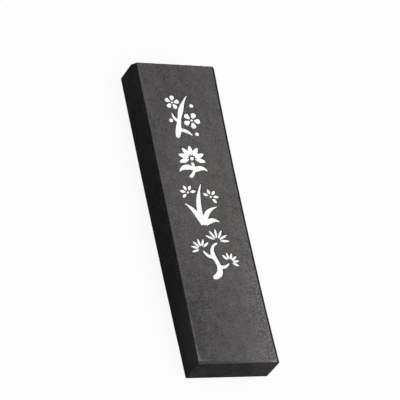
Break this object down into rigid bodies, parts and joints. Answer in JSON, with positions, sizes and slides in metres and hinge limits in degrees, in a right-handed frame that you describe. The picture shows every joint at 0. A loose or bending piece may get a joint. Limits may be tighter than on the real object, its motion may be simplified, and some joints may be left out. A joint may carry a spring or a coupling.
{
  "type": "ink stick",
  "caption": "Flat rectangular stick of pressed soot ink with white-filled plant ornaments recessed in its face, ground on a wet stone to make calligraphy ink.",
  "frame": {"origin": "centre of the plain back face", "axes": "+X across the stick, +Y along it from the grinding end to the top end, +Z out of the decorated face"},
  "size_m": [0.0205, 0.0754, 0.0077],
  "materials": {
    "pressed_ink": "matt charcoal black, pressed soot and hide glue with a fine mottled grain",
    "white_pigment": "matt white pigment brushed into the recesses"
  },
  "bodies": {
    "root": {"ink_block": "pressed_ink", "chrysanthemum_flower_paint": "white_pigment", "chrysanthemum_stem_paint": "white_pigment", "orchid_leaf_paint": "white_pigment", "orchid_left_flower_paint": "white_pigment", "orchid_right_flower_paint": "white_pigment", "pine_bough_paint": "white_pigment", "pine_left_needle_paint": "white_pigment", "pine_right_needle_paint": "white_pigment", "pine_top_needle_paint": "white_pigment", "plum_bough_paint": "white_pigment", "plum_bud_paint": "white_pigment", "plum_lower_blossom_paint": "white_pigment", "plum_upper_blossom_paint": "white_pigment"}
  },
  "joints": []
}
